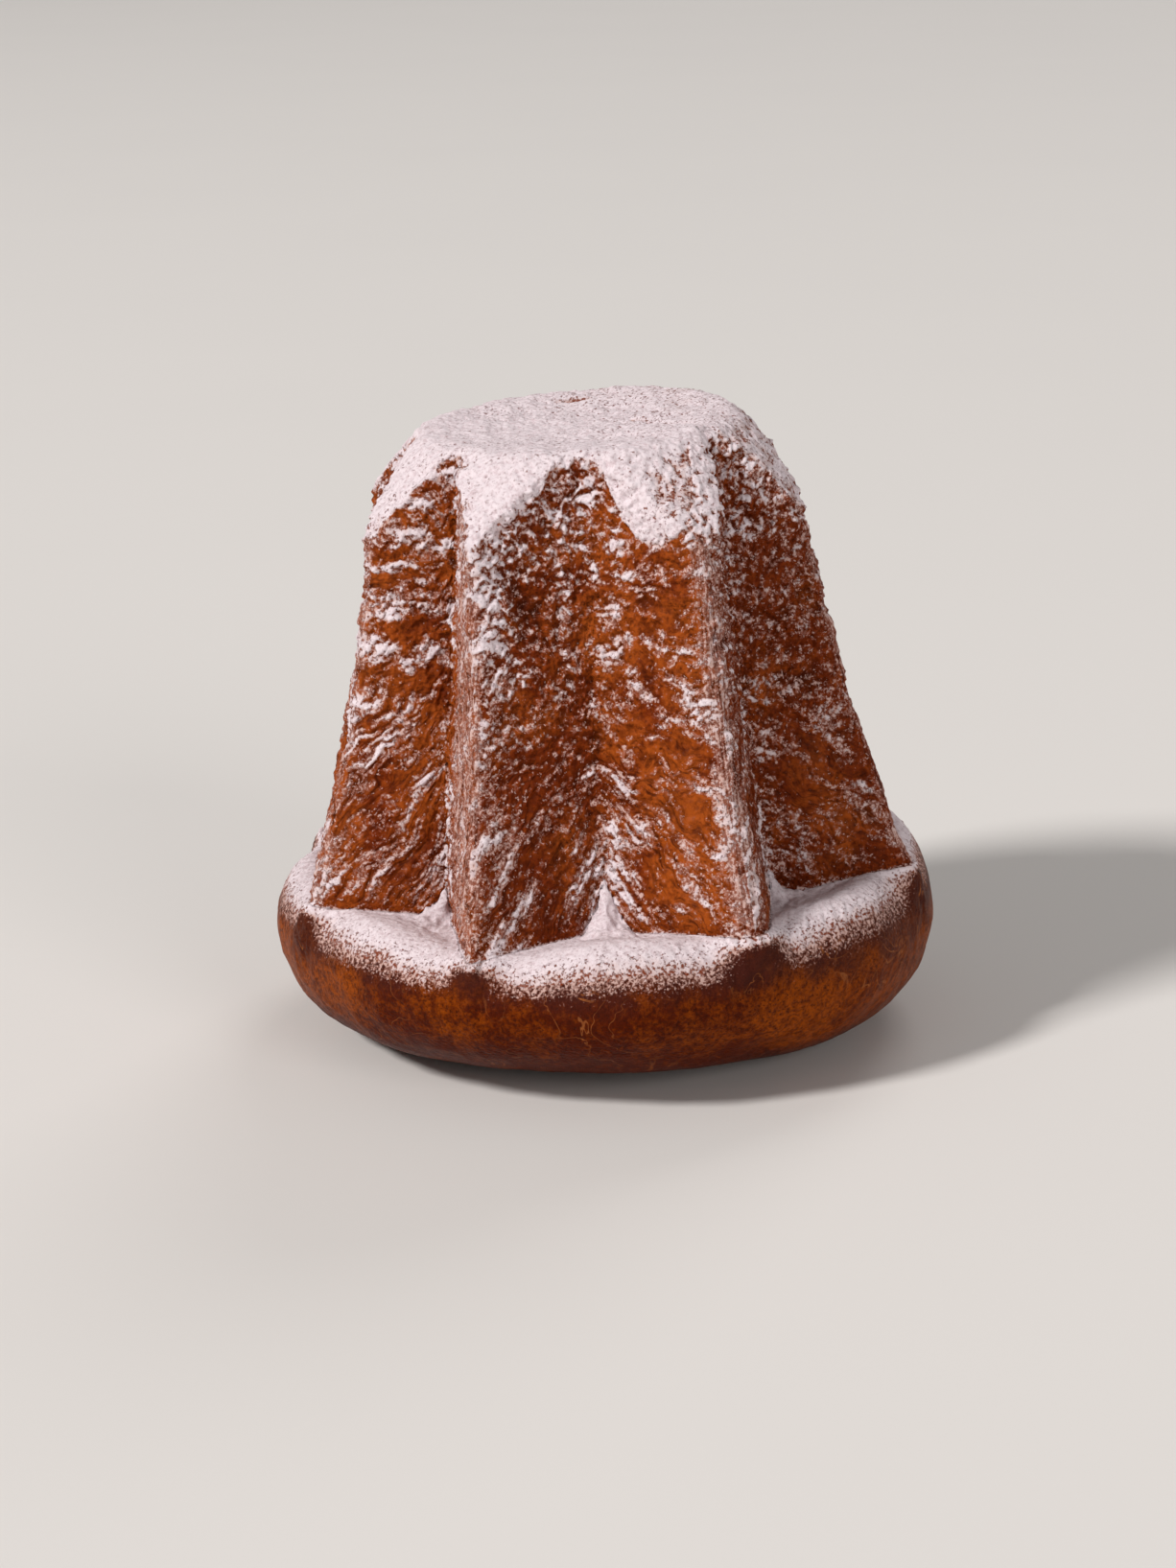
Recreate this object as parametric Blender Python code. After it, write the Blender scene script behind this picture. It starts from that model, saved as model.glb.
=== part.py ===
"""Pandoro: a tall festive cake, baked in a star mould and turned out onto its risen side.

One closed solid in metres, +Z up, with the origin at the centre of the face that it rests on.
A star wall with eight ridges stands on a rounded collar, the dough that rose past the mould's
rim. The ridges are cut off at a slant near the top, round a shallow dished plateau.

Azimuths are in degrees from -Y, the front, towards +X. A column of the surface follows one
azimuth of the star from the base to the plateau. Its share is 0 on a ridge's crest and 1 in the
valley beside it.
"""
import math

import bmesh
import bpy
from mathutils import Vector, noise

MM = 0.001

# Ridges, in order round the cake from the front left: azimuth at the foot and at the top
RIDGE_FOOT = (-63.5, -23.2, 26.2, 71.0, 116.0, 159.0, 202.0, 246.5)
RIDGE_TOP = (-65.0, -27.5, 30.5, 74.0, 115.0, 159.0, 202.0, 246.0)
RIDGE_ROUND = (0.10, 0.015, 0.13, 0.08, 0.08, 0.06, 0.09, 0.08)
RIDGE_DROP = (-1.5 * MM, 3.5 * MM, 0.0, 0.0, 1.0 * MM, 2.0 * MM, 0.0, 2.0 * MM)
VALLEY_SHIFT = (-2.0, -1.0, 0.0, 1.0, -0.5, 0.5, 0.0, 0.0)
VALLEY_ROUND = 0.04

# Star wall
FOOT_HEIGHT = 62.0 * MM
FOOT_DIP = 5.0 * MM
CREST_FOOT = 114.0 * MM
CREST_TOP = 81.0 * MM
CREST_FLARE = 1.4
VALLEY_FOOT = 77.0 * MM
VALLEY_TOP = 53.0 * MM

# Slanted ridge ends and the plateau
SLANT_START = 188.0 * MM
SLANT_LIFT = (1.0 * MM, 6.0 * MM, 2.0 * MM, -4.0 * MM, -4.0 * MM, 2.0 * MM, 2.0 * MM, 4.0 * MM)
SLANT_FULLNESS = 1.2
PLATEAU_HEIGHT = 220.5 * MM
PLATEAU_RADIUS = 54.0 * MM
PLATEAU_DISH = 3.5 * MM

# The star sits a little askew on its collar, and the plateau rises a little more to the right
STAR_TILT = Vector((0.038, 0.03))
PLATEAU_TILT = Vector((0.021, 0.0))
PLATEAU_TILT_START = 150.0 * MM

# Collar
BELLY_RADIUS = 118.8 * MM
BELLY_HEIGHT = 40.5 * MM
LEDGE_RADIUS = 102.5 * MM
LEDGE_LEAST = 2.0 * MM
LOBE_RISE = 1.0 * MM
LOBE_SWELL = 1.5 * MM
REST_RADIUS = 65.0 * MM
REST_SIDE = 3.0 * MM
REST_BACK = 10.0 * MM
REST_OVAL = 16.0 * MM

# Sugar drifts in the corner between ledge and wall, one in each valley: height up the wall
DRIFT_RISE = (11.0 * MM, 17.0 * MM, 10.0 * MM, 12.0 * MM, 10.0 * MM, 14.0 * MM, 11.0 * MM, 12.0 * MM)
DRIFT_REACH = 9.0 * MM
DRIFT_SHARE = 0.3
DRIFT_POINT = 1.2

# Unevenness of the baked dough: broad swells and smaller lumps, fading out towards the base
SWELL_SIZE = 45.0 * MM
SWELL_DEPTH = 1.6 * MM
LUMP_SIZE = 17.0 * MM
LUMP_DEPTH = 0.9 * MM
STEADY_HEIGHT = 20.0 * MM

# Grid
FLANK_COLUMNS = 8
REST_ROWS = 2
UNDER_ROWS = 5
SHOULDER_ROWS = 4
WALL_ROWS = 15
SLANT_ROWS = 5
PLATEAU_ROWS = 3

CRUST_COLOUR = (0.29, 0.085, 0.035, 1.0)
CRUST_ROUGHNESS = 0.55


def mix(a, b, t):
    return a + (b - a) * t


def clamp(t):
    return min(max(t, 0.0), 1.0)


def columns():
    """Every column as (ridge, side, share), once round the cake."""
    ridges = len(RIDGE_FOOT)
    for ridge in range(ridges):
        for step in range(FLANK_COLUMNS):
            yield ridge, 1, step / FLANK_COLUMNS
        for step in range(FLANK_COLUMNS, 0, -1):
            yield (ridge + 1) % ridges, -1, step / FLANK_COLUMNS


def flank_azimuths(ridge, side, z):
    """Azimuths in radians of a flank's crest and of its valley at height z."""
    ridges = len(RIDGE_FOOT)
    climb = (z - FOOT_HEIGHT) / (SLANT_START - FOOT_HEIGHT)
    other = (ridge + side) % ridges
    turn = 360.0 * ((ridge + side - other) // ridges)
    crest = mix(RIDGE_FOOT[ridge], RIDGE_TOP[ridge], climb)
    neighbour = mix(RIDGE_FOOT[other], RIDGE_TOP[other], climb) + turn
    shift = VALLEY_SHIFT[ridge if side > 0 else other]
    valley = (crest + neighbour) / 2 + shift
    return math.radians(crest), math.radians(valley)


def crest_radius(z):
    fall = max((SLANT_START - z) / (SLANT_START - FOOT_HEIGHT), 0.0)
    return mix(CREST_TOP, CREST_FOOT, fall ** CREST_FLARE)


def valley_radius(z):
    return mix(VALLEY_FOOT, VALLEY_TOP, (z - FOOT_HEIGHT) / (PLATEAU_HEIGHT - FOOT_HEIGHT))


def rounded_share(share, crest_round, valley_round):
    """The share with both its ends eased, so that crest and valley are round."""
    def eased(t):
        ease = mix(crest_round, valley_round, t)
        return math.acos((1 - ease) * math.cos(math.pi * t))
    return (eased(share) - eased(0.0)) / (eased(1.0) - eased(0.0))


def star_point(ridge, side, share, z):
    """Radius and azimuth of a column on the star wall: a flat flank with round ends."""
    crest, valley = flank_azimuths(ridge, side, z)
    outer, inner = crest_radius(z), valley_radius(z)
    across = abs(valley - crest)
    part = across * rounded_share(share, RIDGE_ROUND[ridge], VALLEY_ROUND)
    reach = inner * math.sin(across - part) + outer * math.sin(part)
    return outer * inner * math.sin(across) / reach, mix(crest, valley, share)


def slant_radius(ridge, share, z):
    """Radius of the slanted cut at height z."""
    start = SLANT_START + SLANT_LIFT[ridge] * (1 - share)
    rise = clamp((z - start) / (PLATEAU_HEIGHT - start))
    return mix(CREST_TOP, PLATEAU_RADIUS, rise ** SLANT_FULLNESS)


def wall_top(ridge, side, share):
    """Height at which a column's wall meets the slanted cut."""
    low, high = SLANT_START - 5.0 * MM, PLATEAU_HEIGHT
    for _ in range(24):
        middle = (low + high) / 2
        if star_point(ridge, side, share, middle)[0] < slant_radius(ridge, share, middle):
            low = middle
        else:
            high = middle
    return low


def rest_radius(azimuth):
    """Radius of the flat that the cake stands on."""
    side = REST_SIDE * math.sin(azimuth)
    return REST_RADIUS + side - REST_BACK * math.cos(azimuth) - REST_OVAL * math.cos(2 * azimuth)


def place(radius, azimuth, z):
    """World point of a column's radius and height, with the star set askew on the collar."""
    above = max(z - FOOT_HEIGHT, 0.0)
    x = radius * math.sin(azimuth) - STAR_TILT.x * above
    y = -radius * math.cos(azimuth) - STAR_TILT.y * above
    askew = clamp((z - BELLY_HEIGHT) / (FOOT_HEIGHT - BELLY_HEIGHT))
    raised = max((z - PLATEAU_TILT_START) / (PLATEAU_HEIGHT - PLATEAU_TILT_START), 0.0)
    tilt = STAR_TILT * askew + PLATEAU_TILT * raised
    return Vector((x, y, z + tilt.x * x + tilt.y * y))


def column_points(ridge, side, share):
    """Points of one column, from inside the resting face out, up the wall and onto the plateau."""
    lobe = math.sin(math.pi * share / 2) ** 2
    foot = FOOT_HEIGHT - RIDGE_DROP[ridge] * (1 - share) ** 1.2 - FOOT_DIP * lobe
    wall, azimuth = star_point(ridge, side, share, foot)
    rest = rest_radius(azimuth)
    belly = BELLY_RADIUS - LOBE_SWELL * (1 - lobe)
    ledge = max(LEDGE_RADIUS + LOBE_SWELL * lobe, wall + LEDGE_LEAST)
    ledge_height = FOOT_HEIGHT - RIDGE_DROP[ridge] * (1 - share) ** 1.2 + LOBE_RISE * (2 * lobe - 1)
    points = []

    for row in range(1, REST_ROWS + 1):
        points.append(place(rest * row / REST_ROWS, azimuth, 0.0))
    for row in range(1, UNDER_ROWS + 1):
        turn = math.pi / 2 * row / UNDER_ROWS
        points.append(place(mix(rest, belly, math.sin(turn)), azimuth, BELLY_HEIGHT * (1 - math.cos(turn))))
    for row in range(1, SHOULDER_ROWS + 1):
        turn = math.pi / 2 * row / SHOULDER_ROWS
        height = mix(BELLY_HEIGHT, ledge_height, math.sin(turn))
        points.append(place(mix(ledge, belly, math.cos(turn)), azimuth, height))

    valley = ridge if side > 0 else (ridge - 1) % len(RIDGE_FOOT)
    drift = clamp(1 - (1 - share) / DRIFT_SHARE) ** DRIFT_POINT
    low_wall = foot + DRIFT_RISE[valley] * drift
    width = ledge - wall
    toe = min(DRIFT_REACH, 0.4 * width)
    points.append(place(wall + mix(width, toe, 0.5), azimuth, mix(ledge_height, foot, 0.4)))
    points.append(place(wall + toe, azimuth, foot + 0.2 * DRIFT_RISE[valley] * drift))
    points.append(place(star_point(ridge, side, share, low_wall)[0], azimuth, low_wall))

    top = wall_top(ridge, side, share)
    for row in range(1, WALL_ROWS + 1):
        height = mix(low_wall, top, row / WALL_ROWS)
        radius, azimuth = star_point(ridge, side, share, height)
        points.append(place(radius, azimuth, height))
    for row in range(1, SLANT_ROWS + 1):
        height = mix(top, PLATEAU_HEIGHT, row / SLANT_ROWS)
        points.append(place(slant_radius(ridge, share, height), azimuth, height))
    for row in range(1, PLATEAU_ROWS + 1):
        inward = 1 - row / (PLATEAU_ROWS + 1)
        points.append(place(PLATEAU_RADIUS * inward, azimuth, PLATEAU_HEIGHT - PLATEAU_DISH * (1 - inward ** 2)))
    return points


def grown_ring(mesh, ring, points):
    """Extrude a closed ring of vertices, given in order, and move the new ring to its points."""
    edges = [mesh.edges.get(pair) for pair in zip(ring, ring[1:] + ring[:1])]
    fresh = set(bmesh.ops.extrude_edge_only(mesh, edges=edges)["geom"])
    grown = []
    for vertex, point in zip(ring, points):
        others = (edge.other_vert(vertex) for edge in vertex.link_edges)
        partner = next(other for other in others if other in fresh)
        partner.co = point
        grown.append(partner)
    return grown


def closed_end(mesh, ring):
    """Close a ring with a fan round its middle."""
    middle = sum((vertex.co for vertex in ring), Vector()) / len(ring)
    fan = grown_ring(mesh, ring, [middle] * len(ring))
    bmesh.ops.pointmerge(mesh, verts=fan, merge_co=middle)


def star_mesh():
    """The closed surface, one extruded ring for each row of the columns."""
    mesh = bmesh.new()
    grid = [column_points(*column) for column in columns()]
    rows = list(zip(*grid))
    ring = bmesh.ops.create_circle(mesh, segments=len(grid), radius=REST_RADIUS)["verts"]
    for vertex, point in zip(ring, rows[0]):
        vertex.co = point
    first = ring
    for row in rows[1:]:
        ring = grown_ring(mesh, ring, row)
    closed_end(mesh, first)
    closed_end(mesh, ring)
    bmesh.ops.recalc_face_normals(mesh, faces=mesh.faces)
    return mesh


def unevenness(point):
    """Depth of the dough's swells and lumps at a point."""
    swell = SWELL_DEPTH * noise.noise(point / SWELL_SIZE)
    lump = LUMP_DEPTH * noise.noise(point / LUMP_SIZE + Vector((7.0, 3.0, 5.0)))
    return (swell + lump) * clamp(point.z / STEADY_HEIGHT)


def make_uneven(mesh):
    mesh.normal_update()
    shifts = [(vertex, vertex.normal * unevenness(vertex.co)) for vertex in mesh.verts]
    for vertex, shift in shifts:
        vertex.co += shift


def seat(mesh):
    """Bring the middle of the outline to the origin, with the base at height zero."""
    low = [min(vertex.co[axis] for vertex in mesh.verts) for axis in range(3)]
    high = [max(vertex.co[axis] for vertex in mesh.verts) for axis in range(3)]
    shift = Vector((-(low[0] + high[0]) / 2, -(low[1] + high[1]) / 2, -low[2]))
    bmesh.ops.translate(mesh, vec=shift, verts=mesh.verts)


def crust_material():
    crust = bpy.data.materials.new("baked_crust")
    crust.use_nodes = True
    shader = crust.node_tree.nodes["Principled BSDF"]
    shader.inputs["Base Color"].default_value = CRUST_COLOUR
    shader.inputs["Roughness"].default_value = CRUST_ROUGHNESS
    shader.inputs["Metallic"].default_value = 0.0
    return crust


def main():
    for old in list(bpy.data.objects):
        bpy.data.objects.remove(old)
    mesh = star_mesh()
    make_uneven(mesh)
    seat(mesh)
    bmesh.ops.triangulate(mesh, faces=mesh.faces, quad_method="SHORT_EDGE")
    data = bpy.data.meshes.new("pandoro")
    mesh.to_mesh(data)
    mesh.free()
    data.shade_smooth()
    data.materials.append(crust_material())
    pandoro = bpy.data.objects.new("pandoro", data)
    bpy.context.scene.collection.objects.link(pandoro)


if __name__ == "__main__":
    main()
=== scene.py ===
"""Looks of a pandoro, a tall star-shaped festive cake under icing sugar.

The baked crust is four wedges of the star, a lid for its plateau and the collar it stands on. The
icing sugar lies on the crust as thin closed skins. All of them follow one surface, worked out on
a grid of columns round the cake and rows up it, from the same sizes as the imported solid.
"""
import math
from types import SimpleNamespace

import bpy
import numpy as np
from mathutils import Matrix, Vector


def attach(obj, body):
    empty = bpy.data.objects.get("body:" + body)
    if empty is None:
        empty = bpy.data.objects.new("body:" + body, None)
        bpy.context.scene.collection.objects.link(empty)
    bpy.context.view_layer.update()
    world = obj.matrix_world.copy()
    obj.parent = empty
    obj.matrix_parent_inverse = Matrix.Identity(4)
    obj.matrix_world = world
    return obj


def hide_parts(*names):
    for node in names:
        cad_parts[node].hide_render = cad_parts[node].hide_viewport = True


bl_info = {
    "name": "Pandoro",
    "version": (1, 0, 0),
    "blender": (4, 5, 0),
    "location": "View3D > Sidebar > Pandoro",
    "description": "Builds a star-shaped festive cake dusted with icing sugar",
    "category": "Add Mesh",
}

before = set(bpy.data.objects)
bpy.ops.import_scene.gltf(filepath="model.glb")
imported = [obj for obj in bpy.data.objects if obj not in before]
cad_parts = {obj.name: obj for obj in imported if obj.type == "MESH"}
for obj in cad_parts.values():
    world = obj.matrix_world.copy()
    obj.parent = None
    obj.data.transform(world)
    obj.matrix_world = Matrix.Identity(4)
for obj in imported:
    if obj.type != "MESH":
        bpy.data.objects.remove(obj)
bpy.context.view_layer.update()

MM = 0.001
RIDGES = 8
LEFT, FRONT_LEFT, FRONT_RIGHT, RIGHT = range(4)  # numbers of the ridges in front

# The grid: columns round the cake, and the rows at which collar, wall and plateau end.
COLUMNS = 1280
QUARTER = COLUMNS // 4
FLANK = COLUMNS // (2 * RIDGES)
COLLAR_ROWS, WALL_ROWS, PLATEAU_ROWS = 160, 272, 72
COLLAR_END = COLLAR_ROWS
WALL_END = COLLAR_END + WALL_ROWS
LAST_ROW = WALL_END + PLATEAU_ROWS
SHOULDER_ROW = 70  # where the collar's sugar may start

# Spacing in millimetres, and seed, of each pattern of noise.
PATTERNS = {
    "line_x": (5, 41), "line_y": (5, 42),
    "wander": (15, 21), "wander_mid": (6, 22), "wander_fine": (2.8, 23),
    "stir_x": (6, 26), "stir_y": (6, 27), "stir_z": (6, 28),
    "comb": (20, 29), "strength": (22, 8), "slant": (7, 14),
    "pebble": (2.7, 18), "knob": (5, 24), "vein_bend": (9, 25),
    "plateau": (9, 15), "plateau_fine": (3.2, 16),
    "drift": (6, 19), "drift_fine": (2.6, 20),
    "baked": (24, 61), "baked_fine": (9, 62),
    "patch": (19, 33), "patch_fine": (9, 34), "ragged": (5, 37),
    "grain": (1.4, 31), "grain_coarse": (3.5, 32), "fluff": (2.2, 36),
    "clump": (1.7, 51), "clump_coarse": (3.6, 52),
}

# How far strokes and grains break up a dusting, in thicknesses of a thick one.
STROKE_SHARE, GRAIN_SHARE = 3.2, 2.8
SAME_SPOT = 0.000001  # metres: vertices no further apart than this are one


# ---------------------------------------------------------------- sizes and colours

def size(name, description, millimetres):
    return bpy.props.FloatProperty(
        name=name, description=description, default=millimetres * MM, unit="LENGTH", precision=4)


def sizes(name, description, millimetres):
    return bpy.props.FloatVectorProperty(
        name=name, description=description, size=len(millimetres),
        default=[value * MM for value in millimetres], unit="LENGTH")


def angles(name, description, degrees):
    return bpy.props.FloatVectorProperty(
        name=name, description=description, size=len(degrees),
        default=[math.radians(value) for value in degrees], unit="ROTATION")


def angle(name, description, degrees):
    return bpy.props.FloatProperty(
        name=name, description=description, default=math.radians(degrees), unit="ROTATION")


def share(name, description, default):
    return bpy.props.FloatProperty(name=name, description=description, default=default)


def shares(name, description, default):
    return bpy.props.FloatVectorProperty(
        name=name, description=description, size=len(default), default=default)


def linear(code):
    """An sRGB hex code as linear red, green and blue."""
    parts = [int(code[place:place + 2], 16) / 255 for place in (0, 2, 4)]
    return [part / 12.92 if part <= 0.04045 else ((part + 0.055) / 1.055) ** 2.4 for part in parts]


def colour(name, description, code):
    return bpy.props.FloatVectorProperty(
        name=name, description=description, size=3, default=linear(code), subtype="COLOR",
        min=0.0, max=1.0)


class PandoroStar(bpy.types.PropertyGroup):
    """The star wall, its slanted ridge ends and the plateau."""
    ridge_foot: angles("Ridge feet", "Azimuth of each ridge at its foot, from the front",
                       (-63.5, -23.2, 26.2, 71.0, 116.0, 159.0, 202.0, 246.5))
    ridge_top: angles("Ridge tops", "Azimuth of each ridge at its top",
                      (-65.0, -27.5, 30.5, 74.0, 115.0, 159.0, 202.0, 246.0))
    ridge_round: shares("Ridge roundness", "How round each ridge's crest is",
                        (0.10, 0.015, 0.13, 0.08, 0.08, 0.06, 0.09, 0.08))
    ridge_drop: sizes("Ridge drop", "How far each ridge's foot lies below the others",
                      (-1.5, 3.5, 0.0, 0.0, 1.0, 2.0, 0.0, 2.0))
    nose_width: shares("Nose width", "Share of a flank over which each ridge's crest is fibrous",
                       (0.12, 0.07, 0.17, 0.12, 0.12, 0.12, 0.12, 0.12))
    valley_shift: angles("Valley shift", "Turn of each valley from the middle of its ridges",
                         (-2.0, -1.0, 0.0, 1.0, -0.5, 0.5, 0.0, 0.0))
    valley_round: share("Valley roundness", "How round the valleys are", 0.04)
    foot_height: size("Foot height", "Height of the star's foot", 62.0)
    foot_dip: size("Foot dip", "How far the foot dips in the valleys", 5.0)
    crest_foot: size("Crest radius at the foot", "Radius of the ridges at the foot", 114.0)
    crest_top: size("Crest radius at the top", "Radius of the ridges at the top", 81.0)
    crest_flare: share("Crest flare", "How late the ridges flare out", 1.4)
    valley_foot: size("Valley radius at the foot", "Radius of the valleys at the foot", 77.0)
    valley_top: size("Valley radius at the top", "Radius of the valleys at the top", 53.0)
    slant_start: size("Slant start", "Height at which the slanted ridge ends start", 188.0)
    slant_lift: sizes("Slant lift", "How much higher each ridge's slant starts",
                      (1.0, 6.0, 2.0, -4.0, -4.0, 2.0, 2.0, 4.0))
    slant_fullness: share("Slant fullness", "How full the slants are", 1.2)
    plateau_height: size("Plateau height", "Height of the plateau's rim", 220.5)
    plateau_radius: size("Plateau radius", "Radius of the plateau", 54.0)
    plateau_dish: size("Plateau dish", "How deep the plateau's middle lies", 3.5)
    star_tilt: shares("Star tilt", "Rise of the star to the right and to the back", (0.038, 0.03))
    plateau_tilt: shares("Plateau tilt", "Further rise of the plateau", (0.021, 0.0))
    tilt_start: size("Tilt start", "Height at which the plateau's tilt starts", 150.0)


class PandoroCollar(bpy.types.PropertyGroup):
    """The rounded collar under the star and the drifts of sugar on its ledge."""
    belly_radius: size("Belly radius", "Largest radius of the collar", 118.8)
    belly_height: size("Belly height", "Height of the largest radius", 40.5)
    ledge_radius: size("Ledge radius", "Radius at which the shoulder ends", 102.5)
    ledge_least: size("Least ledge", "Least width of the ledge at a ridge", 2.0)
    lobe_rise: size("Lobe rise", "How much the ledge rises in a lobe", 1.0)
    lobe_swell: size("Lobe swell", "How much a lobe stands out", 1.5)
    rest_radius: size("Rest radius", "Radius of the resting face", 65.0)
    rest_side: size("Rest to the side", "How far the resting face reaches to the right", 3.0)
    rest_back: size("Rest to the back", "How far the resting face reaches back", 10.0)
    rest_oval: size("Rest oval", "How oval the resting face is", 16.0)
    drift_rise: sizes("Drift rise", "Height of the sugar drift in each valley",
                      (11.0, 17.0, 10.0, 12.0, 10.0, 14.0, 11.0, 12.0))
    drift_reach: size("Drift reach", "How far a drift reaches out on the ledge", 9.0)
    drift_share: share("Drift width", "Share of a flank that a drift covers", 0.26)
    drift_point: share("Drift point", "How pointed a drift is", 1.4)


class PandoroRelief(bpy.types.PropertyGroup):
    """Unevenness of the crust: spacing and depth of each kind."""
    swell_size: size("Swell size", "Spacing of the broad swells", 45.0)
    swell_depth: size("Swell depth", "Depth of the broad swells", 1.6)
    lump_size: size("Lump size", "Spacing of the lumps", 17.0)
    lump_depth: size("Lump depth", "Depth of the lumps", 0.9)
    fold_size: size("Fold size", "Spacing of the coarse folds up the wall", 9.0)
    fold_run: size("Fold run", "Length of the coarse folds", 17.0)
    fold_depth: size("Fold depth", "Depth of the coarse folds", 1.0)
    wrinkle_size: size("Wrinkle size", "Spacing of the wrinkles", 4.2)
    wrinkle_run: size("Wrinkle run", "Length of the wrinkles", 7.0)
    wrinkle_depth: size("Wrinkle depth", "Depth of the wrinkles", 0.75)
    crease_size: size("Crease size", "Spacing of the fine creases", 2.1)
    crease_run: size("Crease run", "Length of the fine creases", 3.4)
    crease_depth: size("Crease depth", "Depth of the fine creases", 0.42)
    crumple_size: size("Crumple size", "Spacing of the fine crumpling", 1.6)
    crumple_depth: size("Crumple depth", "Depth of the fine crumpling", 0.16)
    fibre_size: size("Fibre size", "Spacing of the fibres down the crests", 1.7)
    fibre_depth: size("Fibre depth", "Depth of the fibres", 0.28)
    vein_size: size("Vein size", "Spacing of the veins on the collar", 11.0)
    vein_depth: size("Vein depth", "Depth of the veins on the collar", 0.30)
    droop: share("Droop", "How far the folds hang over", 0.45)
    fan: share("Fan", "How steeply the folds fan out at the foot", 1.15)


class PandoroCrust(bpy.types.PropertyGroup):
    """Colours of the baked crust."""
    golden: colour("Golden", "Thinly baked crust", "9E4A16")
    brown: colour("Brown", "Well baked crust", "742B08")
    # Dark is the crust's own dark spots, and also the colour of the painted shade in its creases.
    dark: colour("Dark", "Crust in creases", "380F02")
    amber: colour("Amber", "Thinly baked crust of the collar", "924202")
    caramel: colour("Caramel", "Well baked crust of the collar", "541800")
    scorched: colour("Scorched", "Purple-brown crust of the collar's shoulder", "421C15")
    vein: colour("Vein", "Fine cracks of the collar", "96562C")
    haze: colour("Haze", "A film of sugar melted into the crust", "A4786C")


class PandoroSugar(bpy.types.PropertyGroup):
    """Icing sugar."""
    white: colour("Sugar", "Thick icing sugar", "E6D9DD")
    damp: colour("Damp sugar", "Icing sugar that has drawn moisture", "CAA89F")
    # Painted shade: the colour that greys the sugar between its clumps.
    clump_shade: colour("Settled sugar", "Icing sugar that lies low between the clumps", "C9B4B8")
    # Painted shade: the colour of tiny hollows in the sugar, which have no relief of their own.
    pit_shade: colour("Pit", "Tiny hollows in the sugar", "94787A")
    depth: size("Depth", "Thickness of a thick dusting", 0.6)
    skin: size("Skin", "How far the skin reaches into the crust", 0.5)
    crack: sizes("Crack", "Ends of the plateau's short crack, to the right and back",
                 (-12.5, 36.0, -3.0, 34.5))
    crease: sizes("Crease", "Ends of the plateau's shallow crease", (13.0, -1.0, 32.0, -22.0))
    slant_shift: sizes("Slant shift", "How far to the right of each ridge its sugar lies",
                       (0.0, 5.0, -13.0, 0.0, 0.0, 3.0, -3.0, 0.0))


class PandoroStage(bpy.types.PropertyGroup):
    """Camera, floor and lights."""
    camera_place: sizes("Camera", "Place of the camera", (0.0, -1205.95, 434.17))
    camera_pitch: angle("Pitch", "How far the camera looks down", 16.10)
    camera_yaw: angle("Yaw", "Turn of the camera to the right", -0.236)
    camera_roll: angle("Roll", "Roll of the camera", 1.2)
    floor: colour("Floor", "Pale floor", "E4E1DD")


# ---------------------------------------------------------------- noise

def unit_directions(count, seed):
    directions = np.random.default_rng(seed).normal(size=(count, 3))
    return directions / np.linalg.norm(directions, axis=1, keepdims=True)


DIRECTIONS = unit_directions(256, 7)


def lattice(x, y, z, seed):
    """A direction for each corner of the unit lattice, by mixing the bits of its address."""
    mixed = (x.astype(np.uint32) * np.uint32(374761393) + y.astype(np.uint32) * np.uint32(668265263)
             + z.astype(np.uint32) * np.uint32(2246822519) + np.uint32(seed * 3266489917 % 2 ** 32))
    mixed = (mixed ^ (mixed >> np.uint32(15))) * np.uint32(2246822519)
    mixed = (mixed ^ (mixed >> np.uint32(13))) * np.uint32(3266489917)
    return DIRECTIONS[(mixed ^ (mixed >> np.uint32(16))) & np.uint32(255)]


def noise(x, y, z, seed=0):
    """Smooth gradient noise of arrays of coordinates, from about -1 to 1."""
    x, y, z = np.broadcast_arrays(x, y, z)
    whole = [np.floor(value).astype(np.int64) for value in (x, y, z)]
    part = [value - base for value, base in zip((x, y, z), whole)]
    eased = [value ** 3 * (value * (value * 6 - 15) + 10) for value in part]
    total = np.zeros(x.shape)
    for corner in np.ndindex(2, 2, 2):
        weight = 1.0
        for axis in range(3):
            weight = weight * (eased[axis] if corner[axis] else 1 - eased[axis])
        slope = lattice(*(whole[axis] + corner[axis] for axis in range(3)), seed)
        rise = sum(slope[..., axis] * (part[axis] - corner[axis]) for axis in range(3))
        total += weight * rise
    return total * 1.6


def noise_at(points, spacing, seed=0):
    """Noise of points in space, with bumps about as wide as the spacing."""
    return noise(*(points[..., axis] / spacing for axis in range(3)), seed)


def pattern(points, name):
    spacing, seed = PATTERNS[name]
    return noise_at(points, spacing * MM, seed)


def ridged(values):
    """Noise turned into sharp-edged folds, from -1 in their creases to 1 on their backs."""
    return 1 - 2.6 * np.abs(values)


def mix(a, b, t):
    return a + (b - a) * t


def clamp(t):
    return np.clip(t, 0.0, 1.0)


def ramp(value, low, high):
    """0 below low, 1 above high and smooth between."""
    t = clamp((value - low) / (high - low))
    return t * t * (3 - 2 * t)


def below(value, low, high):
    """1 below low, 0 above high and smooth between."""
    return ramp(-value, -high, -low)


def near_line(points, ends, width):
    """1 on a wavering line between two ends in plan, falling to 0 beside it."""
    x = points[..., 0] + 1.2 * MM * pattern(points, "line_x")
    y = points[..., 1] + 1.2 * MM * pattern(points, "line_y")
    along_x, along_y = ends[2] - ends[0], ends[3] - ends[1]
    part = (x - ends[0]) * along_x + (y - ends[1]) * along_y
    part = clamp(part / (along_x ** 2 + along_y ** 2))
    away = np.hypot(x - ends[0] - part * along_x, y - ends[1] - part * along_y)
    return np.exp(-(away / width) ** 2)


# ---------------------------------------------------------------- the cake's surface

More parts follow.
